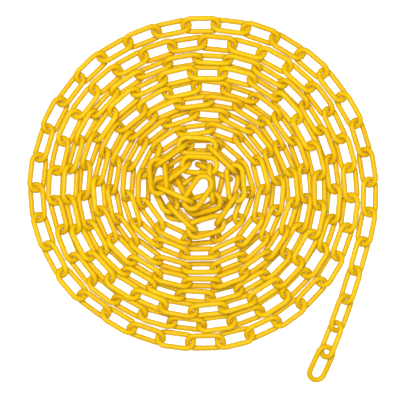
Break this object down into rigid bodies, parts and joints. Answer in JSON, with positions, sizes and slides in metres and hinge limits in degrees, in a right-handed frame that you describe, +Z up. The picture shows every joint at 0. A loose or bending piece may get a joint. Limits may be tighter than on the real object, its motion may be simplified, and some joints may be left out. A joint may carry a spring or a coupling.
{
  "type": "plastic barrier chain",
  "caption": "Yellow moulded-plastic barrier chain of long round-wire links, coiled flat turn by turn with one end led out and the other laid over the middle.",
  "frame": {"origin": "middle of the coil's outline in plan, on the surface that it lies on", "axes": "+Z up out of the coil; +X towards the side where the free end leaves the coil; the free end points towards -Y"},
  "size_m": [0.4128, 0.4308, 0.0662],
  "materials": {
    "yellow_plastic": "satin moulded polyethylene, coloured through"
  },
  "bodies": {
    "end_link": {"end_link": "yellow_plastic"},
    "link_002": {"link_002": "yellow_plastic"},
    "link_003": {"link_003": "yellow_plastic"},
    "link_004": {"link_004": "yellow_plastic"},
    "link_005": {"link_005": "yellow_plastic"},
    "link_006": {"link_006": "yellow_plastic"},
    "link_007": {"link_007": "yellow_plastic"},
    "link_008": {"link_008": "yellow_plastic"},
    "link_009": {"link_009": "yellow_plastic"},
    "link_010": {"link_010": "yellow_plastic"},
    "link_011": {"link_011": "yellow_plastic"},
    "link_012": {"link_012": "yellow_plastic"},
    "link_013": {"link_013": "yellow_plastic"},
    "link_014": {"link_014": "yellow_plastic"},
    "link_015": {"link_015": "yellow_plastic"},
    "link_016": {"link_016": "yellow_plastic"},
    "link_017": {"link_017": "yellow_plastic"},
    "link_018": {"link_018": "yellow_plastic"},
    "link_019": {"link_019": "yellow_plastic"},
    "link_020": {"link_020": "yellow_plastic"},
    "coil": {"rest_link": "yellow_plastic", "run_022_026": "yellow_plastic", "run_027_031": "yellow_plastic", "run_032_036": "yellow_plastic", "run_037_042": "yellow_plastic", "run_043_047": "yellow_plastic", "run_048_052": "yellow_plastic", "run_053_057": "yellow_plastic", "run_058_063": "yellow_plastic", "run_064_068": "yellow_plastic", "run_069_073": "yellow_plastic", "run_074_079": "yellow_plastic", "run_080_084": "yellow_plastic", "run_085_089": "yellow_plastic", "run_090_094": "yellow_plastic", "run_095_100": "yellow_plastic", "run_101_105": "yellow_plastic", "run_106_110": "yellow_plastic", "run_111_116": "yellow_plastic", "run_117_121": "yellow_plastic", "run_122_126": "yellow_plastic", "run_127_131": "yellow_plastic", "run_132_137": "yellow_plastic", "run_138_142": "yellow_plastic", "run_143_147": "yellow_plastic", "run_148_152": "yellow_plastic", "run_153_158": "yellow_plastic", "run_159_163": "yellow_plastic", "run_164_168": "yellow_plastic", "run_169_174": "yellow_plastic", "run_175_179": "yellow_plastic", "run_180_184": "yellow_plastic", "run_185_189": "yellow_plastic", "run_190_195": "yellow_plastic", "run_196_200": "yellow_plastic", "run_201_205": "yellow_plastic", "run_206_211": "yellow_plastic", "link_212": "yellow_plastic", "link_213": "yellow_plastic", "inner_end_link": "yellow_plastic"}
  },
  "joints": [
    {"name": "end_link_hook", "type": "hinge", "parent": "link_002", "child": "end_link", "pos_m": [0.14455, -0.17969, 0.01047], "axis": [0, 0, 1], "range_deg": [-30, 35]},
    {"name": "link_002_hook", "type": "hinge", "parent": "link_003", "child": "link_002", "pos_m": [0.15639, -0.14975, 0.01047], "axis": [0, 0, -1], "range_deg": [-40, 30]},
    {"name": "link_003_hook", "type": "hinge", "parent": "link_004", "child": "link_003", "pos_m": [0.16795, -0.11725, 0.01047], "axis": [0, 0, 1], "range_deg": [-30, 35]},
    {"name": "link_004_hook", "type": "hinge", "parent": "link_005", "child": "link_004", "pos_m": [0.17864, -0.0835, 0.01047], "axis": [0, 0, -1], "range_deg": [-20, 20]},
    {"name": "link_005_hook", "type": "hinge", "parent": "link_006", "child": "link_005", "pos_m": [0.18838, -0.04929, 0.00952], "axis": [0, 0, 1], "range_deg": [0, 20]},
    {"name": "link_006_hook", "type": "hinge", "parent": "link_007", "child": "link_006", "pos_m": [0.1952, -0.01459, 0.01012], "axis": [0, 0, -1], "range_deg": [-25, 0]},
    {"name": "link_007_hook", "type": "hinge", "parent": "link_008", "child": "link_007", "pos_m": [0.19587, 0.02067, 0.00927], "axis": [0, 0, 1], "range_deg": [0, 25]},
    {"name": "link_008_hook", "type": "hinge", "parent": "link_009", "child": "link_008", "pos_m": [0.19031, 0.05564, 0.00927], "axis": [0, 0, -1], "range_deg": [-20, 0]},
    {"name": "link_009_hook", "type": "hinge", "parent": "link_010", "child": "link_009", "pos_m": [0.17969, 0.08992, 0.00963], "axis": [0, 0, 1], "range_deg": [0, 30]},
    {"name": "link_010_hook", "type": "hinge", "parent": "link_011", "child": "link_010", "pos_m": [0.16252, 0.1205, 0.00927], "axis": [0, 0, -1], "range_deg": [-30, 0]},
    {"name": "link_011_hook", "type": "hinge", "parent": "link_012", "child": "link_011", "pos_m": [0.14085, 0.14849, 0.00927], "axis": [0, 0, 1], "range_deg": [0, 30]},
    {"name": "link_012_hook", "type": "hinge", "parent": "link_013", "child": "link_012", "pos_m": [0.11405, 0.17111, 0.00953], "axis": [0, 0, -1], "range_deg": [-20, 0]},
    {"name": "link_013_hook", "type": "hinge", "parent": "link_014", "child": "link_013", "pos_m": [0.08379, 0.18982, 0.00927], "axis": [0, 0, 1], "range_deg": [0, 25]},
    {"name": "link_014_hook", "type": "hinge", "parent": "link_015", "child": "link_014", "pos_m": [0.05029, 0.20126, 0.00927], "axis": [0, 0, -1], "range_deg": [-25, 0]},
    {"name": "link_015_hook", "type": "hinge", "parent": "link_016", "child": "link_015", "pos_m": [0.01483, 0.20568, 0.00974], "axis": [0, 0, 1], "range_deg": [0, 30]},
    {"name": "link_016_hook", "type": "hinge", "parent": "link_017", "child": "link_016", "pos_m": [-0.02014, 0.20488, 0.00927], "axis": [0, 0, -1], "range_deg": [-35, 0]},
    {"name": "link_017_hook", "type": "hinge", "parent": "link_018", "child": "link_017", "pos_m": [-0.05482, 0.19774, 0.00927], "axis": [0, 0, 1], "range_deg": [0, 30]},
    {"name": "link_018_hook", "type": "hinge", "parent": "link_019", "child": "link_018", "pos_m": [-0.08781, 0.18493, 0.00927], "axis": [0, 0, -1], "range_deg": [-20, 0]},
    {"name": "link_019_hook", "type": "hinge", "parent": "link_020", "child": "link_019", "pos_m": [-0.11898, 0.16708, 0.00944], "axis": [0, 0, 1], "range_deg": [0, 30]},
    {"name": "link_020_hook", "type": "hinge", "parent": "coil", "child": "link_020", "pos_m": [-0.14442, 0.1429, 0.00927], "axis": [0, 0, -1], "range_deg": [-35, 0]}
  ]
}
